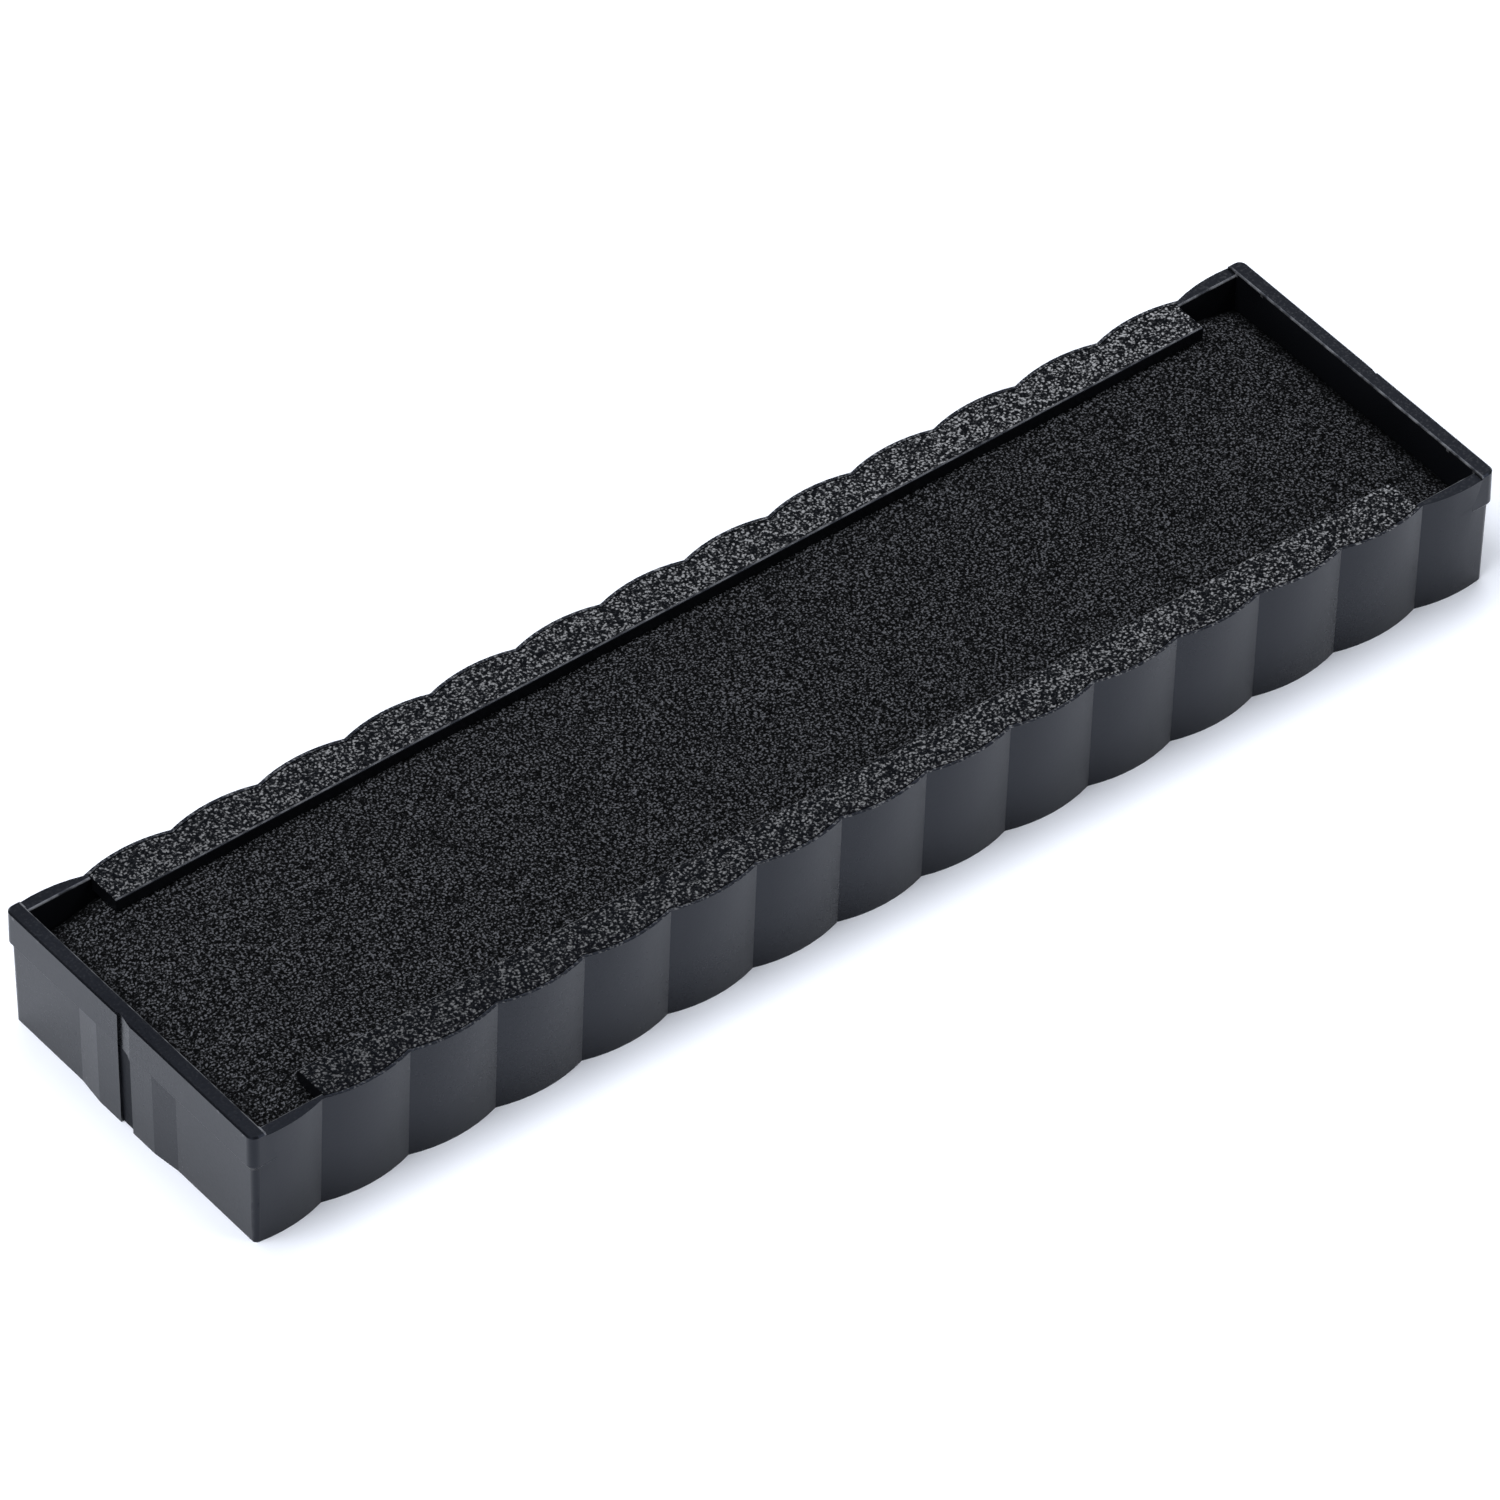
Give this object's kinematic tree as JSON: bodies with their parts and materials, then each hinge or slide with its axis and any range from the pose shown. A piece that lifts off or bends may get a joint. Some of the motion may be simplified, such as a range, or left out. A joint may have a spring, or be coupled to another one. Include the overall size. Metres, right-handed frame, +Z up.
{
  "type": "ink pad",
  "caption": "Replacement ink pad cartridge for a self-inking stamp: a shallow tray with finger-grip walls and end flanges, holding an inked foam pad under side strips.",
  "frame": {"origin": "middle of the underside, on the surface that the cartridge rests on", "axes": "+X along the length, +Y across the width and along the slide into the stamp, +Z up out of the open top"},
  "size_m": [0.084, 0.0218, 0.008],
  "materials": {
    "tray_plastic": "satin black moulded plastic with a fine grain",
    "textured_plastic": "black moulded plastic with a coarse spark-eroded texture",
    "inked_foam": "fine open-cell foam, wet with black ink",
    "inked_felt": "dense felt, soaked with black ink"
  },
  "bodies": {
    "root": {"tray": "tray_plastic", "retaining_strip_front": "textured_plastic", "retaining_strip_rear": "textured_plastic", "foam_pad": "inked_foam", "reservoir_felt": "inked_felt"}
  },
  "joints": []
}
